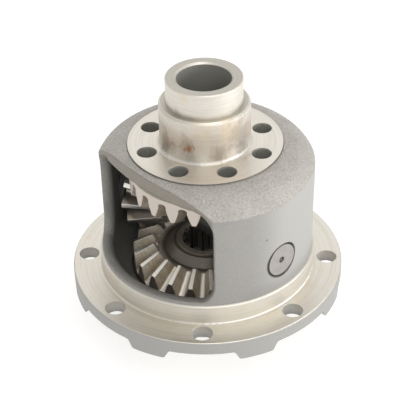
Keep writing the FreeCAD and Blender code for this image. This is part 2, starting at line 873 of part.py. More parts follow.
def spider_gear_blank(name):
    """The spider gear before its teeth are cut, with the apex at the origin and its back towards +Z."""
    face_edge = size("spider_face_radius") + size("spider_face_bevel")
    toe = size("spider_toe_distance")
    heel = size("spider_back_radius")
    beyond_tips = spider_gear_teeth()["tip"] + math.radians(SPIDER_BLANK_MARGIN)
    across = round(math.sin(beyond_tips), 9)
    along = round(math.cos(beyond_tips), 9)
    return revolved_body(name, [
        (ZERO, size("spider_face")),
        (size("spider_face_radius"), size("spider_face")),
        (face_edge, on_ball(toe, face_edge)),
        (toe * across, toe * along),
        (heel * across, heel * along),
        (ZERO, heel),
    ], {2: (toe, True), 4: (heel, False)})


def spider_gear(label, rotation):
    blank = spider_gear_blank(f"{label}_blank")
    numbers = spider_gear_teeth()
    near = DIMENSIONS["spider_toe_distance"] * math.cos(numbers["tip"]) - TEETH_OVERRUN
    far = DIMENSIONS["spider_back_radius"] + TEETH_OVERRUN
    teeth = toothed_cone(f"{label}_teeth", numbers, near, far)
    bore = place(cylinder(f"{label}_bore", size("spider_bore_radius"), size("spider_back_radius")),
                 z=fixed(5.0))
    gear = cut(label, common(f"{label}_toothed", blank, teeth), bore)
    gear.Label = label
    return place(gear, z=size("pin_height"), rotation=rotation)


# ---------------------------------------------------------------- washers, pin and lock


def thrust_washer(label, rotation):
    """Flat washer between a side gear's back and its seat in the case."""
    near = size("seat_distance") - size("thrust_washer_thickness")
    washer = revolved_body(label, [
        (size("thrust_washer_inner_radius"), near),
        (size("thrust_washer_outer_radius"), near),
        (size("thrust_washer_outer_radius"), size("seat_distance")),
        (size("thrust_washer_inner_radius"), size("seat_distance")),
    ])
    return place(washer, z=size("pin_height"), rotation=rotation)


def spider_washer(label, rotation):
    """Cup washer between a spider gear's ball-shaped back and its seat in the case."""
    outside = size("spider_seat_radius")
    inside = outside - size("spider_washer_thickness")
    hole = size("spider_washer_inner_radius")
    rim = size("spider_washer_outer_radius")
    washer = revolved_body(label, [
        (hole, on_ball(inside, hole)),
        (rim, on_ball(inside, rim)),
        (rim, on_ball(outside, rim)),
        (hole, on_ball(outside, hole)),
    ], {0: (inside, True), 2: (outside, False)})
    return place(washer, z=size("pin_height"), rotation=rotation)


def cross_pin(label):
    """The straight pin that carries both spider gears, with oil flats and a hole for its lock."""
    half = size("pin_half_length")
    chamfer = size("pin_chamfer")
    turning = revolved_body(f"{label}_turning", [
        (ZERO, -half),
        (size("pin_radius") - chamfer, -half),
        (size("pin_radius"), -half + chamfer),
        (size("pin_radius"), half - chamfer),
        (size("pin_radius") - chamfer, half),
        (size("centre_mark_radius"), half),
        (ZERO, half - size("centre_mark_depth")),
    ])
    place(turning, z=size("pin_height"), rotation=TO_PLUS_X)
    tools = [lock_hole(f"{label}_lock_hole")]
    for name, side in (("right", 1), ("left", -1)):
        start = size("oil_flat_start") if side > 0 else -(size("oil_flat_start") + size("oil_flat_length"))
        flat = box(f"{label}_{name}_flat", size("oil_flat_length"), size("pin_radius") * 2, size("pin_radius"))
        height = size("pin_height") + size("pin_radius") - size("oil_flat_depth")
        tools.append(place(flat, x=start, y=-size("pin_radius"), z=height))
    pin = cut(label, turning, fuse(f"{label}_tools", tools))
    pin.Label = label
    return pin


def cross_pin_lock(label):
    """Slotted spring pin, parallel to the axle, through the case and the cross pin's left end."""
    start = size("lock_top") - size("lock_length")
    overrun = fixed(1.0)
    outer = place(cylinder(f"{label}_outer", size("lock_radius"), size("lock_length")),
                  x=-size("lock_position"), z=start)
    inner = place(cylinder(f"{label}_inner", size("lock_radius") - size("lock_wall"),
                           size("lock_length") + overrun * 2),
                  x=-size("lock_position"), z=start - overrun)
    slot = place(box(f"{label}_slot", size("lock_radius") * 2, size("lock_slot_width"),
                     size("lock_length") + overrun * 2),
                 x=-size("lock_position"), y=size("lock_slot_width") * -0.5, z=start - overrun)
    lock = cut(label, outer, fuse(f"{label}_tools", [inner, slot]))
    lock.Label = label
    return lock


# ---------------------------------------------------------------- assembly


def gear_turns():
    """How each gear is laid on its axis and turned at rest, so that all teeth mesh.

    The side gears have a tooth over each end of the pin before they turn, the lower one half a
    tooth later, and a spider gear has the space between two teeth at its top.
    """
    side_turn = float(SHEET.get("side_gear_turn"))
    half_tooth = 180.0 / DIMENSIONS["side_gear_teeth"]
    spider_turn = side_turn * DIMENSIONS["side_gear_teeth"] / DIMENSIONS["spider_gear_teeth"]
    return {
        "upper_side_gear": Rotation(Z_AXIS, side_turn),
        "lower_side_gear": Rotation(Z_AXIS, half_tooth - side_turn) * TO_MINUS_Z,
        "right_spider_gear": Rotation(X_AXIS, -spider_turn) * TO_PLUS_X,
        "left_spider_gear": Rotation(X_AXIS, spider_turn) * TO_MINUS_X * Rotation(Z_AXIS, 180),
    }


def build():
    fill_sheet()
    turns = gear_turns()
    pieces = [
        differential_case("differential_case"),
        cross_pin("cross_pin"),
        cross_pin_lock("cross_pin_lock"),
        thrust_washer("upper_thrust_washer", Rotation()),
        thrust_washer("lower_thrust_washer", TO_MINUS_Z),
        spider_washer("right_spider_washer", TO_PLUS_X),
        spider_washer("left_spider_washer", TO_MINUS_X),
    ]
    for label in ("upper_side_gear", "lower_side_gear"):
        pieces.append(side_gear(label, turns[label]))
    for label in ("right_spider_gear", "left_spider_gear"):
        pieces.append(spider_gear(label, turns[label]))
    DOCUMENT.recompute()
    return pieces


def check(pieces):
    """Stop if any object failed, or if a piece isn't one sound solid."""
    for item in DOCUMENT.Objects:
        if "Invalid" in item.State or "Error" in item.State:
            raise RuntimeError(f"{item.Name} failed: {item.State}")
    for piece in pieces:
        shape = piece.Shape
        if shape.isNull() or not shape.isValid() or len(shape.Solids) != 1:
            raise RuntimeError(f"{piece.Label} isn't one valid solid")
        print(f"{piece.Label}: {shape.Volume / 1000:.1f} cm3, {len(shape.Faces)} faces")


def write(pieces):
    os.makedirs("parts", exist_ok=True)
    for piece in pieces:
        piece.Shape.exportStep(f"parts/{piece.Label}.step")


PIECES = build()
check(PIECES)
write(PIECES)
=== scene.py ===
import math

import bpy
from mathutils import Matrix, Vector


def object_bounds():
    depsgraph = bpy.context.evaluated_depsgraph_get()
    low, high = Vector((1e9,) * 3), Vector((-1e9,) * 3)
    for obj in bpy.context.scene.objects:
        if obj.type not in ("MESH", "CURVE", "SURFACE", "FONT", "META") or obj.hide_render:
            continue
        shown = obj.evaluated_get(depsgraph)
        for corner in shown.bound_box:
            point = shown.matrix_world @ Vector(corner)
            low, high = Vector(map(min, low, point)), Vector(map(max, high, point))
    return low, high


# A bevel-gear differential: a cast and machined case, its gears, cross pin, washers and lock pin.
# Every visible shape is a CAD node. This script gives each one its surface, and sets the floor,
# the studio light and the camera. Shaders work in millimetres, in the object's own frame.

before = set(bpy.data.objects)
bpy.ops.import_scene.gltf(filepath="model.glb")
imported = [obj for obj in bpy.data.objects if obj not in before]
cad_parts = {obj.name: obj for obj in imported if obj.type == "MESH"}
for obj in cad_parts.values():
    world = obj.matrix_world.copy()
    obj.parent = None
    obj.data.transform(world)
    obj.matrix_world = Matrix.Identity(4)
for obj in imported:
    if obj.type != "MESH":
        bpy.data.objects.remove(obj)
cad_low, cad_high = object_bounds()

# Metres in a millimetre
MM = 0.001

# Sizes of the part that its shaders use, in millimetres: radii from the axle axis, or for the pin
# from its own, and heights from the ring-gear seat
JOURNAL_RADIUS = 25.0
COLLAR_RADIUS = 29.8
COLLAR_TOP = 125.0
AXLE_BORE_RADIUS = 17.75
DISC_RADIUS = 51.0
DISC_TOP = 94.5
DOG_CIRCLE = 40.0
CAST_LINE = 77.0
LIP_FLOOR = 76.0
WALL_RADIUS = 72.15
REGISTER_RADIUS = 73.3
REGISTER_TOP = 13.85
BOLT_CIRCLE = 82.5
FLANGE_RADIUS = 92.8
FLANGE_DEPTH = 15.3
RELIEF_RADIUS = 69.0
CAVITY_RADIUS = 64.5
CAVITY_FLOOR = -8.2
CAVITY_TOP = 80.0
HUB_BORE_RADIUS = 22.05
HUB_BORE_FLOOR = -27.7
PIN_HEIGHT = 35.9
PIN_RADIUS = 12.0
PIN_HALF_LENGTH = 71.6
CENTRE_MARK_RADIUS = 2.3
CENTRE_MARK_DEPTH = 2.6


# ---------------------------------------------------------------- shader graphs


class Graph:
    """A material's node graph, written as expressions. Values are sockets, numbers or colours."""

    def __init__(self, name):
        self.material = bpy.data.materials.new(name)
        self.material.use_nodes = True
        self.tree = self.material.node_tree
        self.tree.nodes.clear()
        place = self.node("ShaderNodeTexCoord")
        scaled = self.node("ShaderNodeVectorMath", operation="SCALE")
        self.feed(scaled.inputs[0], place.outputs["Object"])
        scaled.inputs["Scale"].default_value = 1.0 / MM
        self.position = scaled.outputs[0]
        self.facing = place.outputs["Normal"]
        self.x, self.y, self.z = self.split(self.position)

    def node(self, kind, **settings):
        item = self.tree.nodes.new(kind)
        for key, value in settings.items():
            setattr(item, key, value)
        return item

    def feed(self, socket, value):
        if isinstance(value, bpy.types.NodeSocket):
            self.tree.links.new(value, socket)
        elif isinstance(value, tuple):
            socket.default_value = (*value, 1.0)
        else:
            socket.default_value = value

    def math(self, operation, first, second=0.0):
        item = self.node("ShaderNodeMath", operation=operation)
        self.feed(item.inputs[0], first)
        self.feed(item.inputs[1], second)
        return item.outputs[0]

    def add(self, first, second):
        return self.math("ADD", first, second)

    def less(self, first, second):
        return self.math("SUBTRACT", first, second)

    def times(self, first, second):
        return self.math("MULTIPLY", first, second)

    def lean(self, value):
        """One minus a value."""
        return self.less(1.0, value)

    def most(self, first, *others):
        """The largest of several values."""
        for other in others:
            first = self.math("MAXIMUM", first, other)
        return first

    def size(self, value):
        """A value without its sign."""
        return self.math("ABSOLUTE", value)

    def split(self, vector):
        item = self.node("ShaderNodeSeparateXYZ")
        self.feed(item.inputs[0], vector)
        return item.outputs[0], item.outputs[1], item.outputs[2]

    def join(self, x, y, z):
        item = self.node("ShaderNodeCombineXYZ")
        for socket, value in zip(item.inputs, (x, y, z)):
            self.feed(socket, value)
        return item.outputs[0]

    def hypot(self, first, second):
        squares = self.add(self.times(first, first), self.times(second, second))
        return self.math("SQRT", squares)

    def span(self, value, low, high, start=0.0, end=1.0):
        """Smooth step from start to end as value goes from low to high."""
        item = self.node("ShaderNodeMapRange", interpolation_type="SMOOTHSTEP")
        for socket, given in zip(item.inputs, (value, low, high, start, end)):
            self.feed(socket, given)
        return item.outputs[0]

    def band(self, value, low, high, soft=0.2):
        """One between low and high, nothing outside, with soft edges."""
        rising = self.span(value, low - soft, low + soft)
        falling = self.span(value, high - soft, high + soft, 1.0, 0.0)
        return self.times(rising, falling)

    def blend(self, factor, first, second):
        """Mix of two colours."""
        item = self.node("ShaderNodeMix", data_type="RGBA")
        self.feed(item.inputs[0], factor)
        self.feed(item.inputs[6], first)
        self.feed(item.inputs[7], second)
        return item.outputs[2]

    def between(self, factor, first, second):
        """Mix of two numbers."""
        item = self.node("ShaderNodeMix", data_type="FLOAT")
        self.feed(item.inputs[0], factor)
        self.feed(item.inputs[2], first)
        self.feed(item.inputs[3], second)
        return item.outputs[0]

    def noise(self, vector, scale, detail=2.0, roughness=0.5, distortion=0.0):
        item = self.node("ShaderNodeTexNoise")
        self.feed(item.inputs["Vector"], vector)
        item.inputs["Scale"].default_value = scale
        item.inputs["Detail"].default_value = detail
        item.inputs["Roughness"].default_value = roughness
        item.inputs["Distortion"].default_value = distortion
        return item.outputs["Fac"]

    def distance(self, point):
        item = self.node("ShaderNodeVectorMath", operation="DISTANCE")
        self.feed(item.inputs[0], self.position)
        item.inputs[1].default_value = point
        return item.outputs["Value"]

    def rounded(self, radius):
        """Normal with each sharp edge eased by a radius in millimetres, and how near an edge is."""
        bevel = self.node("ShaderNodeBevel", samples=6)
        size = radius * MM if isinstance(radius, float) else self.times(radius, MM)
        self.feed(bevel.inputs["Radius"], size)
        true = self.node("ShaderNodeNewGeometry")
        dot = self.node("ShaderNodeVectorMath", operation="DOT_PRODUCT")
        self.feed(dot.inputs[0], bevel.outputs[0])
        self.feed(dot.inputs[1], true.outputs["Normal"])
        edge = self.span(dot.outputs["Value"], 0.75, 0.995, 1.0, 0.0)
        return bevel.outputs[0], edge

    def bump(self, height, depth, normal=None):
        """Bump of a height from 0 to 1 over a depth in millimetres."""
        item = self.node("ShaderNodeBump")
        item.inputs["Strength"].default_value = 1.0
        item.inputs["Distance"].default_value = depth * MM
        self.feed(item.inputs["Height"], height)
        if normal is not None:
            self.feed(item.inputs["Normal"], normal)
        return item.outputs[0]

    def finish(self, colour, roughness, metallic, normal, anisotropic=0.0):
        shader = self.node("ShaderNodeBsdfPrincipled")
        self.feed(shader.inputs["Base Color"], colour)
        self.feed(shader.inputs["Roughness"], roughness)
        self.feed(shader.inputs["Metallic"], metallic)
        self.feed(shader.inputs["Normal"], normal)
        if anisotropic:
            shader.inputs["Anisotropic"].default_value = anisotropic
            tangent = self.node("ShaderNodeTangent", direction_type="RADIAL", axis="Z")
            self.feed(shader.inputs["Tangent"], tangent.outputs[0])
        out = self.node("ShaderNodeOutputMaterial")
        self.tree.links.new(shader.outputs[0], out.inputs["Surface"])
        return self.material


def turning_marks(g, across, radius):
    """Fine grooves left by a lathe: they follow the circle about the axis, and differ across it."""
    along_x = g.math("DIVIDE", g.x, radius)
    along_y = g.math("DIVIDE", g.y, radius)
    groove = g.join(g.times(along_x, 0.9), g.times(along_y, 0.9), g.times(across, 2.6))
    fine = g.noise(groove, 1.0, 3.0, 0.6)
    broad = g.noise(g.join(along_x, along_y, g.times(across, 0.55)), 1.0, 2.0)
    return fine, broad


# ---------------------------------------------------------------- the case

# Linear colours
MACHINED = (0.75, 0.722, 0.663)
MACHINED_SHADE = (0.61, 0.58, 0.512)
TOP_RING = (0.35, 0.34, 0.31)
WALL_GREY = (0.27, 0.262, 0.247)
WALL_LIGHT = (0.31, 0.302, 0.285)
WALL_PALE = (0.40, 0.395, 0.378)
CAST_GREY = (0.50, 0.48, 0.45)
CAST_SHADE = (0.35, 0.335, 0.305)
CAST_DARK = (0.20, 0.195, 0.18)
WINDOW_GREY = (0.30, 0.29, 0.27)
CAVITY_DARK = (0.095, 0.097, 0.09)
HOLE_GREY = (0.34, 0.34, 0.31)
STEP_DARK = (0.10, 0.095, 0.085)
RIM_GREY = (0.37, 0.365, 0.35)
BOLT_HOLE = (0.50, 0.48, 0.44)
LIP_BROWN = (0.27, 0.235, 0.18)
RUST = (0.42, 0.15, 0.05)
HEAT_BROWN = (0.34, 0.235, 0.16)
HEAT_STRAW = (0.70, 0.57, 0.41)
# Smudge colour, also used as painted shade at the journal's foot and on the collar's right
SMUDGE_AND_SHADE = (0.24, 0.22, 0.20)

# Stains on the collar and journal, and one patch of painted shade on the collar's right: azimuth
# in degrees from -Y towards +X, height and reach in millimetres, strength and colour
STAINS_AND_SHADE = [
    (27.6, 105.5, 4.2, 0.85, RUST),
    (25.0, 108.5, 8.0, 0.50, HEAT_BROWN),
    (-5.4, 105.4, 11.0, 0.55, HEAT_BROWN),
    (-12.2, 98.5, 8.0, 0.30, SMUDGE_AND_SHADE),
    (31.1, 99.0, 7.0, 0.25, SMUDGE_AND_SHADE),
    (66.0, 101.5, 10.0, 0.40, HEAT_BROWN),
    (100.8, 99.0, 9.0, 0.30, SMUDGE_AND_SHADE),
    (79.7, 116.5, 13.0, 0.55, HEAT_STRAW),
    (44.9, 119.0, 12.0, 0.35, HEAT_STRAW),
    (17.5, 138.5, 5.0, 0.35, HEAT_STRAW),
    (2.7, 127.2, 4.5, 0.25, HEAT_BROWN),
    (-126.3, 104.0, 9.0, 0.40, HEAT_BROWN),
    (164.4, 113.0, 10.0, 0.35, HEAT_STRAW),
    # Painted shade, darkening the collar's right side
    (96.9, 112.0, 15.0, 0.32, SMUDGE_AND_SHADE),
]

# A small nick in the wall above the pin: azimuth and height
NICK = (79.5, 57.9)

# The flange was ground in arcs about this point, off to one side
GRIND_CENTRE = (150.0, -190.0, 0.0)


def on_case(radius, azimuth, height):
    """Point on a turned face of the case."""
    angle = math.radians(azimuth)
    return (radius * math.sin(angle), -radius * math.cos(angle), height)


class CaseZones:
    """Where each kind of surface is on the case. A zone is one inside and nothing outside."""

    def __init__(self, g, radius):
        _, _, up = g.split(g.facing)
        self.steep = g.span(g.size(up), 0.5, 0.3)
        self.mark_dome(g, radius, up)
        self.mark_wall(g, radius)
        self.mark_inside(g, radius)
        self.mark_holes(g, radius)
        self.mark_flange(g, radius)
        self.mark_top(g, radius, up)
        self.mark_lines(g, radius)

    def mark_dome(self, g, radius, up):
        """The dome is as cast, down to a wavering line on the wall."""
        crown = g.times(g.span(up, 0.1, 0.2), g.span(g.z, CAST_LINE - 2.0, CAST_LINE))
        crown = g.times(crown, g.span(radius, DISC_RADIUS - 0.1, DISC_RADIUS + 0.3))
        waver = g.times(g.noise(g.position, 0.09, 3.0), 6.0)
        above_line = g.span(g.less(g.z, g.add(CAST_LINE, waver)), -0.4, 0.4)
        outer_face = g.span(radius, WALL_RADIUS - 0.75, WALL_RADIUS - 0.35)
        self.dome = g.most(crown, g.times(above_line, outer_face))

    def mark_wall(self, g, radius):
        """The wall, the edges of the windows through it, and the lip above the front one."""
        face = g.band(radius, WALL_RADIUS - 0.25, WALL_RADIUS + 0.45, 0.1)
        face = g.times(face, g.span(g.z, REGISTER_TOP + 0.1, REGISTER_TOP + 0.2))
        self.wall = g.times(face, g.lean(self.dome))
        window = g.span(radius, WALL_RADIUS - 0.35, WALL_RADIUS - 0.15, 1.0, 0.0)
        window = g.times(window, g.band(g.z, REGISTER_TOP + 0.35, DISC_TOP - 1.1, 0.3))
        self.window = g.times(window, g.lean(self.dome))
        lip = g.band(g.z, LIP_FLOOR, DISC_TOP - 2.3, 0.5)
        self.lip = g.times(lip, g.span(radius, DISC_RADIUS + 1.0, DISC_RADIUS + 2.0))

    def mark_inside(self, g, radius):
        """The cavity, and the bore of the hub below it."""
        cavity = g.span(radius, CAVITY_RADIUS + 0.7, CAVITY_RADIUS - 0.2)
        cavity = g.times(cavity, g.band(g.z, CAVITY_FLOOR - 0.4, CAVITY_TOP + 2.4, 0.2))
        hub_bore = g.span(radius, HUB_BORE_RADIUS + 0.35, HUB_BORE_RADIUS + 0.15)
        hub_bore = g.times(hub_bore, g.band(g.z, HUB_BORE_FLOOR - 0.8, CAVITY_FLOOR + 0.2, 0.2))
        self.cavity = g.most(cavity, hub_bore)

    def mark_holes(self, g, radius):
        """The axle bores and the holes in the disc, and the bolt holes through the flange."""
        bore = g.span(radius, AXLE_BORE_RADIUS + 0.85, AXLE_BORE_RADIUS + 0.45)
        dog_hole = g.band(radius, DOG_CIRCLE - 7.0, DOG_CIRCLE + 7.0, 0.3)
        dog_hole = g.times(dog_hole, g.band(g.z, DISC_TOP - 10.5, DISC_TOP - 0.4, 0.1))
        self.hollow = g.most(g.times(bore, self.steep), dog_hole)
        bolt_hole = g.band(radius, BOLT_CIRCLE - 7.5, BOLT_CIRCLE + 7.5, 0.3)
        bolt_hole = g.times(bolt_hole, g.band(g.z, -FLANGE_DEPTH, -0.2, 0.1))
        self.bolt_hole = g.times(bolt_hole, self.steep)

    def mark_flange(self, g, radius):
        """The flange's rim, the reliefs under it and the register above it."""
        self.rim = g.span(radius, FLANGE_RADIUS - 0.5, FLANGE_RADIUS - 0.2)
        relief = g.band(radius, RELIEF_RADIUS - 0.5, FLANGE_RADIUS - 0.3, 0.2)
        self.relief = g.times(relief, g.band(g.z, 0.1 - FLANGE_DEPTH, -0.8, 0.05))
        register = g.band(radius, REGISTER_RADIUS - 0.7, REGISTER_RADIUS + 0.5, 0.2)
        self.register = g.times(register, g.band(g.z, 0.5, REGISTER_TOP + 0.15, 0.1))

    def mark_top(self, g, radius, up):
        """The ring at the collar's top, a ring of painted shade at the journal's foot, the collar
        and the disc.
        """
        top_ring = g.span(radius, COLLAR_RADIUS + 0.2, COLLAR_RADIUS - 0.3)
        self.top_ring = g.times(top_ring, g.span(up, 0.8, 0.95))
        foot = g.span(radius, JOURNAL_RADIUS + 0.4, JOURNAL_RADIUS + 0.2)
        foot = g.times(foot, g.span(g.z, COLLAR_TOP + 1.1, COLLAR_TOP + 0.3))
        self.journal_foot = g.times(foot, g.span(g.z, COLLAR_TOP - 0.5, COLLAR_TOP - 0.1))
        collar = g.band(radius, COLLAR_RADIUS - 0.8, COLLAR_RADIUS + 3.2, 0.2)
        self.collar = g.times(collar, g.band(g.z, DISC_TOP + 0.3, COLLAR_TOP, 0.2))
        disc = g.band(radius, DISC_RADIUS - 17.0, DISC_RADIUS, 0.5)
        self.disc = g.times(disc, g.band(g.z, DISC_TOP - 1.5, DISC_TOP + 1.0, 0.2))

    def mark_lines(self, g, radius):
        """Painted shade in dark lines: the step's shadow about the disc, and the eased mouth of the
        pin's bore.
        """
        step = g.band(radius, DISC_RADIUS - 0.1, DISC_RADIUS + 0.4, 0.1)
        step = g.times(step, g.band(g.z, DISC_TOP - 1.9, DISC_TOP - 0.2, 0.1))
        from_pin = g.hypot(g.y, g.less(g.z, PIN_HEIGHT))
        mouth = g.band(from_pin, PIN_RADIUS - 0.2, PIN_RADIUS + 1.0, 0.1)
        mouth = g.times(mouth, g.span(g.size(g.x), WALL_RADIUS - 6.15, WALL_RADIUS - 5.15))
        self.lines = g.most(g.times(step, 0.7), g.times(mouth, 0.91))


def turned_metal(g, zone, fine, broad):
    """Colour of the turned faces: bright metal with heat stains, smoke, a rust spot and painted
    shade.
    """
    metal = g.blend(g.span(fine, 0.3, 0.65), MACHINED_SHADE, MACHINED)
    metal = g.blend(g.times(g.span(broad, 0.3, 0.7), 0.6), metal, MACHINED)
    arcs = g.join(g.times(g.distance(GRIND_CENTRE), 1.1), 0.0, 0.0)
    ground = g.span(g.noise(arcs, 1.0, 3.0, 0.7), 0.52, 0.72)
    on_flange = g.span(g.z, 10.0, 5.0)
    metal = g.blend(g.times(g.times(ground, on_flange), 0.45), metal, MACHINED_SHADE)

    blotch = g.noise(g.position, 0.12, 4.0, 0.65, 0.6)
    straw = g.times(g.span(blotch, 0.48, 0.75, 0.0, 0.3), g.lean(g.times(zone.disc, 0.8)))
    metal = g.blend(straw, metal, HEAT_STRAW)
    metal = g.blend(g.times(zone.top_ring, 0.95), metal, g.blend(fine, TOP_RING, MACHINED_SHADE))
    smoky = g.band(g.add(g.z, g.times(blotch, 16.0)), 109.0, 126.0, 5.0)
    metal = g.blend(g.times(smoky, g.times(zone.collar, 0.3)), metal, HEAT_BROWN)
    # Painted shade in the crease at the journal's foot
    metal = g.blend(g.times(zone.journal_foot, 0.3), metal, SMUDGE_AND_SHADE)

    torn = g.add(blotch, g.noise(g.join(g.x, g.y, g.times(g.z, 0.5)), 0.45, 4.0, 0.7))
    for azimuth, height, reach, strength, tint in STAINS_AND_SHADE:
        turned_radius = COLLAR_RADIUS if height < COLLAR_TOP else JOURNAL_RADIUS
        from_spot = g.distance(on_case(turned_radius, azimuth, height))
        ragged = g.add(from_spot, g.times(g.less(torn, 1.0), reach * 1.6))
        metal = g.blend(g.span(ragged, reach * 0.2, reach, strength, 0.0), metal, tint)
    return metal


def blasted_wall(g, fine_grain, patches):
    """Colour of the wall: dull grey, paler towards +Y partly as painted light, darker at its foot
    as painted shade.
    """
    blasted = g.blend(g.span(fine_grain, 0.3, 0.7), WALL_GREY, WALL_LIGHT)
    blasted = g.blend(g.times(g.span(patches, 0.4, 0.7), 0.16), blasted, CAST_DARK)
    # Paler towards +Y: partly the wall's own tone, partly painted light from the right
    paler = g.span(g.add(g.y, g.times(g.less(patches, 0.5), 8.0)), -27.0, 5.0, 0.0, 0.8)
    blasted = g.blend(paler, blasted, WALL_PALE)
    # Painted shade: the wall darkens towards its foot above the register
    foot = g.times(g.span(g.z, 27.0, 15.0, 0.0, 0.45), g.span(g.y, -45.0, 0.0))
    blasted = g.blend(foot, blasted, CAST_DARK)
    from_nick = g.distance(on_case(WALL_RADIUS, *NICK))
    return g.blend(g.span(from_nick, 0.5, 1.2, 0.6, 0.0), blasted, STEP_DARK)


def case_colour(g, zone, radius, fine, broad, grain):
    """Colour of the whole case: each zone's goes over the ones before it."""
    fine_grain = g.noise(g.position, 1.3, 2.0, 0.6)
    patches = g.noise(g.position, 0.07, 4.0, 0.6)
    half_fine = g.times(fine_grain, 0.5)
    metal = turned_metal(g, zone, fine, broad)
    colour = g.blend(zone.wall, metal, blasted_wall(g, fine_grain, patches))
    colour = g.blend(zone.rim, colour, g.blend(half_fine, RIM_GREY, WALL_LIGHT))

    cast = g.blend(g.span(grain, 0.3, 0.65), CAST_SHADE, CAST_GREY)
    cast = g.blend(g.times(g.span(patches, 0.4, 0.75), 0.25), cast, CAST_DARK)
    colour = g.blend(zone.dome, colour, cast)

    # The windows' edges darken inwards with painted shade
    opening = g.blend(g.span(grain, 0.25, 0.6), CAST_DARK, WINDOW_GREY)
    depth = g.add(radius, g.times(g.less(patches, 0.5), 5.0))
    deep = g.span(depth, WALL_RADIUS - 0.65, WALL_RADIUS - 5.65, 0.0, 0.6)
    opening = g.blend(g.times(deep, g.lean(zone.lip)), opening, CAVITY_DARK)
    colour = g.blend(zone.window, colour, opening)
    colour = g.blend(zone.relief, colour, cast)
    # Painted shade: the cavity and the hub's bore are coloured dark inside the case
    inner = g.blend(g.times(patches, 0.5), CAVITY_DARK, CAST_DARK)
    colour = g.blend(zone.cavity, colour, inner)
    colour = g.blend(g.times(g.times(zone.lip, zone.window), 0.55), colour, LIP_BROWN)

    hollow = g.blend(g.times(fine_grain, 0.6), HOLE_GREY, CAST_DARK)
    colour = g.blend(zone.hollow, colour, hollow)
    # Painted shade: the bolt holes darken downwards
    bolt_hole = g.blend(g.span(g.z, -3.0, -11.0), BOLT_HOLE, WALL_GREY)
    colour = g.blend(zone.bolt_hole, colour, bolt_hole)
    # The dark lines are painted shade
    return g.blend(zone.lines, colour, STEP_DARK)


def case_material():
    g = Graph("cast_and_machined_case")
    radius = g.hypot(g.x, g.y)
    zone = CaseZones(g, radius)
    fine, broad = turning_marks(g, g.add(g.z, radius), radius)
    grain = g.noise(g.position, 0.8, 3.0, 0.65)
    colour = case_colour(g, zone, radius, fine, broad, grain)

    # The lip's edge is eased more than the others, and only the others get a painted highlight
    normal, edge = g.rounded(g.add(0.5, g.times(zone.lip, 2.0)))
    colour = g.blend(g.times(g.times(edge, g.lean(zone.lip)), 0.3), colour, MACHINED)

    rough_cast = g.most(zone.dome, zone.relief, g.times(zone.window, 0.5))
    holes = g.most(zone.cavity, zone.hollow, zone.bolt_hole)
    dull = g.most(zone.wall, zone.rim, zone.window, rough_cast, holes)
    shine = g.add(g.add(0.38, g.times(fine, 0.14)), g.times(zone.steep, 0.06))
    shine = g.add(shine, g.times(g.add(zone.register, zone.collar), 0.08))
    roughness = g.between(dull, shine, g.add(0.46, g.times(grain, 0.25)))
    metallic = g.less(g.between(dull, 1.0, 0.35), g.times(zone.wall, 0.25))
    normal = g.bump(g.times(grain, rough_cast), 1.0, normal)
    normal = g.bump(g.times(fine, g.lean(dull)), 0.012, normal)
    return g.finish(colour, roughness, metallic, normal, 0.1)


# ---------------------------------------------------------------- gears, pin and washers

GEAR_LIGHT = (0.61, 0.56, 0.48)
GEAR_BROWN = (0.50, 0.415, 0.285)
GEAR_DARK = (0.15, 0.135, 0.115)
HEEL_GREY = (0.58, 0.525, 0.475)
HEEL_SHADE = (0.48, 0.42, 0.365)
LAND_HIGHLIGHT = (0.92, 0.89, 0.84)
HUB_BROWN = (0.33, 0.28, 0.22)
HUB_DARK = (0.10, 0.092, 0.078)
BORE_DARK = (0.075, 0.072, 0.063)

# Distances on a gear, in millimetres: from its apex to where its teeth start, radii at which its
# inner part darkens with painted shade, and the raised ring about the side gear's splines
TOOTH_START = (31.0, 33.0)
HUB_EDGE = (33.0, 30.0)
SPLINE_EDGE = (17.0, 16.6)
RING_RADII = (17.4, 21.2)
RING_REACH = (24.0, 29.0)


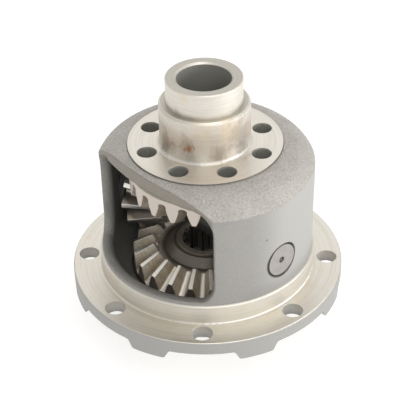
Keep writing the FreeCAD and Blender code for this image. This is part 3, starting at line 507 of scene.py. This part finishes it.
def gear_material(name, axis, heel_radius, tip_slope, root_slope):
    """Satin steel: pale on the ground heel, brown and oily between the teeth, with painted shade in
    the middle and painted highlights on lands, roots and edges.

    The slopes are the tangents of the tip and root cones' angles. A heel radius past the gear's own
    rim gives no heel.
    """
    g = Graph(name)
    raised = g.less(g.z, PIN_HEIGHT)
    along, first, second = (raised, g.x, g.y) if axis == "Z" else (g.x, raised, g.y)
    radius = g.hypot(first, second)
    apex_distance = g.hypot(radius, along)
    slope = g.math("DIVIDE", radius, g.size(along))
    heel = g.span(radius, heel_radius - 0.4, heel_radius - 0.1)
    toothed = g.times(g.span(apex_distance, *TOOTH_START), g.lean(heel))
    land = g.times(g.span(slope, tip_slope * 0.985, tip_slope * 0.997), toothed)
    root = g.times(g.span(slope, root_slope * 1.003, root_slope * 1.02, 1.0, 0.0), toothed)
    root = g.times(root, g.span(slope, root_slope * 0.985, root_slope * 0.995))
    oil = g.noise(g.position, 0.1, 3.0, 0.6, 0.5)
    streaks = g.join(g.times(apex_distance, 0.15), g.times(first, 1.3), g.times(second, 1.3))
    grind = g.noise(streaks, 1.0, 2.0)
    speck = g.noise(g.position, 1.1, 2.0)
    tooth = g.blend(g.span(oil, 0.35, 0.68), GEAR_LIGHT, GEAR_BROWN)
    tooth = g.blend(g.times(g.span(grind, 0.35, 0.7), 0.3), tooth, GEAR_DARK)
    # Painted shade: the hub and the splined bore darken inwards
    tooth = g.blend(g.times(g.span(radius, *HUB_EDGE), 0.85), tooth, HUB_DARK)
    tooth = g.blend(g.span(radius, *SPLINE_EDGE), tooth, BORE_DARK)
    ring = g.times(g.band(radius, *RING_RADII, 0.1), g.band(apex_distance, *RING_REACH))
    tooth = g.blend(g.times(ring, 0.8), tooth, HUB_BROWN)
    # Painted highlights along the tooth lands and roots
    bright = g.most(land, g.times(root, 0.6))
    tooth = g.blend(bright, tooth, LAND_HIGHLIGHT)
    colour = g.blend(heel, tooth, g.blend(g.times(speck, 0.5), HEEL_GREY, HEEL_SHADE))
    normal, edge = g.rounded(0.35)
    # Painted highlight along the edges
    colour = g.blend(g.times(edge, 0.5), colour, MACHINED)
    roughness = g.less(g.add(0.34, g.times(grind, 0.2)), g.times(bright, 0.12))
    metallic = g.most(g.between(heel, 0.6, 1.0), bright)
    normal = g.bump(g.times(grind, g.lean(heel)), 0.03, normal)
    normal = g.bump(speck, 0.02, normal)
    return g.finish(colour, roughness, metallic, normal)


PIN_DARK = (0.045, 0.045, 0.04)
PIN_GREY = (0.33, 0.31, 0.295)
PIN_LIGHT = (0.38, 0.36, 0.345)


def pin_material():
    """Pin with turned bright ends, and dark along its length.

    The ends' bevels and the centre marks are painted dark too, as shade.
    """
    g = Graph("pin_steel")
    raised = g.less(g.z, PIN_HEIGHT)
    radius = g.hypot(g.y, raised)
    across = g.add(radius, g.x)
    rings = g.noise(g.join(g.times(across, 3.0), 0.0, 0.0), 1.0, 2.0)
    patch = g.noise(g.position, 0.25, 3.0, 0.6)
    colour = g.blend(g.span(patch, 0.3, 0.7), PIN_GREY, PIN_LIGHT)
    from_middle = g.size(g.x)
    at_end = g.span(from_middle, PIN_HALF_LENGTH - 1.6, PIN_HALF_LENGTH - 1.3)
    colour = g.blend(at_end, PIN_DARK, colour)
    mark_floor = PIN_HALF_LENGTH - CENTRE_MARK_DEPTH
    mark = g.band(radius, CENTRE_MARK_RADIUS - 1.1, CENTRE_MARK_RADIUS - 0.1, 0.25)
    mark = g.times(mark, g.span(from_middle, mark_floor - 1.0, mark_floor))
    rim = g.times(g.span(radius, PIN_RADIUS - 1.0, PIN_RADIUS - 0.7), at_end)
    # Painted shade on the bevel at each end and down the centre marks
    colour = g.blend(g.most(g.times(mark, 0.9), g.times(rim, 0.95)), colour, PIN_DARK)
    normal, _ = g.rounded(0.3)
    normal = g.bump(rings, 0.015, normal)
    return g.finish(colour, g.add(0.36, g.times(patch, 0.15)), 0.6, normal)


def plain_steel(name, light, dark, roughness):
    """Steel that is hardly seen: mottled, with eased edges and a painted highlight along them."""
    g = Graph(name)
    patch = g.noise(g.position, 0.3, 3.0, 0.6)
    fine = g.noise(g.position, 1.6, 2.0)
    colour = g.blend(g.span(patch, 0.3, 0.7), light, dark)
    normal, edge = g.rounded(0.25)
    # Painted highlight along the edges
    colour = g.blend(g.times(edge, 0.4), colour, light)
    normal = g.bump(fine, 0.02, normal)
    return g.finish(colour, g.add(roughness, g.times(fine, 0.12)), 1.0, normal)


def dress(node, material):
    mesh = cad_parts[node].data
    mesh.materials.clear()
    mesh.materials.append(material)


WASHER_LIGHT = (0.22, 0.21, 0.20)
WASHER_DARK = (0.10, 0.10, 0.10)
LOCK_LIGHT = (0.34, 0.33, 0.32)
LOCK_DARK = (0.20, 0.19, 0.18)

side_steel = gear_material(
    "side_gear_steel", "Z", heel_radius=51.2, tip_slope=1.970, root_slope=1.349)
spider_steel = gear_material(
    "spider_gear_steel", "X", heel_radius=60.0, tip_slope=0.7107, root_slope=0.4867)
washer_steel = plain_steel("washer_steel", WASHER_LIGHT, WASHER_DARK, 0.42)
dress("differential_case", case_material())
dress("cross_pin", pin_material())
dress("cross_pin_lock", plain_steel("lock_steel", LOCK_LIGHT, LOCK_DARK, 0.35))
for side in ("upper", "lower"):
    dress(f"{side}_side_gear", side_steel)
    dress(f"{side}_thrust_washer", washer_steel)
for side in ("right", "left"):
    dress(f"{side}_spider_gear", spider_steel)
    dress(f"{side}_spider_washer", washer_steel)


# ---------------------------------------------------------------- floor, light and camera

# The floor is a matt white sheet that also glows a little, so that it comes out as paper white
FLOOR_REACH = 12.0
FLOOR_GREY = 0.5
FLOOR_GLOW = 0.6

WORLD_COLOUR = (1.0, 0.985, 0.965)
WORLD_STRENGTH = 0.72


def floor_sheet():
    mesh = bpy.data.meshes.new("floor")
    low = cad_low.z
    signs = ((-1, -1), (1, -1), (1, 1), (-1, 1))
    corners = [(x * FLOOR_REACH, y * FLOOR_REACH, low) for x, y in signs]
    mesh.from_pydata(corners, [], [(0, 1, 2, 3)])
    floor = bpy.data.objects.new("floor", mesh)
    bpy.context.scene.collection.objects.link(floor)
    material = bpy.data.materials.new("studio_white")
    material.use_nodes = True
    shader = material.node_tree.nodes["Principled BSDF"]
    shader.inputs["Base Color"].default_value = (FLOOR_GREY, FLOOR_GREY, FLOOR_GREY, 1.0)
    shader.inputs["Roughness"].default_value = 0.9
    shader.inputs["Emission Color"].default_value = (1.0, 1.0, 1.0, 1.0)
    shader.inputs["Emission Strength"].default_value = FLOOR_GLOW
    mesh.materials.append(material)


def soft_light(name, place, size, power):
    """Square white softbox, facing the object. Its place and size are in metres."""
    data = bpy.data.lights.new(name, "AREA")
    data.shape = "SQUARE"
    data.size = size
    data.energy = power
    lamp = bpy.data.objects.new(name, data)
    target = (cad_low + cad_high) / 2
    lamp.location = place
    lamp.rotation_mode = "QUATERNION"
    lamp.rotation_quaternion = (target - Vector(place)).to_track_quat("-Z", "Y")
    bpy.context.scene.collection.objects.link(lamp)


def studio_world():
    world = bpy.data.worlds.new("studio")
    world.use_nodes = True
    back = world.node_tree.nodes["Background"]
    back.inputs["Color"].default_value = (*WORLD_COLOUR, 1.0)
    back.inputs["Strength"].default_value = WORLD_STRENGTH
    bpy.context.scene.world = world


# The camera's angles in degrees, its place in millimetres from the ring-gear seat, along its own
# axes, its focal length in widths of the picture, its sensor's width in millimetres, and how near
# and far it sees in metres
AZIMUTH = 48.039
ELEVATION = 35.526
ROLL = -1.121
CAMERA_DISTANCE = 868.946
CAMERA_RIGHT = 0.313
CAMERA_UP = 32.534
FOCAL_WIDTHS = 3.000387
SENSOR = 36.0
CLIP_RANGE = (0.05, 60.0)


def studio_camera():
    a, e, r = (math.radians(angle) for angle in (AZIMUTH, ELEVATION, ROLL))
    back = Vector((math.sin(a) * math.cos(e), -math.cos(a) * math.cos(e), math.sin(e)))
    level = Vector((math.cos(a), math.sin(a), 0.0))
    upright = back.cross(level)
    right = level * math.cos(r) + upright * math.sin(r)
    up = upright * math.cos(r) - level * math.sin(r)
    place = (right * CAMERA_RIGHT + up * CAMERA_UP + back * CAMERA_DISTANCE) * MM
    data = bpy.data.cameras.new("camera")
    data.sensor_width = SENSOR
    data.lens = SENSOR * FOCAL_WIDTHS
    data.clip_start, data.clip_end = CLIP_RANGE
    camera = bpy.data.objects.new("camera", data)
    columns = Matrix((right, up, back)).transposed().to_4x4()
    camera.matrix_world = Matrix.Translation(place) @ columns
    bpy.context.scene.collection.objects.link(camera)
    bpy.context.scene.camera = camera


floor_sheet()
studio_world()
studio_camera()
soft_light("back_softbox", (-1.4, 1.25, 1.4), 3.0, 12.0)
soft_light("right_softbox", (1.35, 0.75, 0.2), 1.0, 17.0)
soft_light("front_softbox", (1.1, -0.5, 1.3), 1.2, 9.0)
bpy.context.scene.view_settings.view_transform = "Standard"
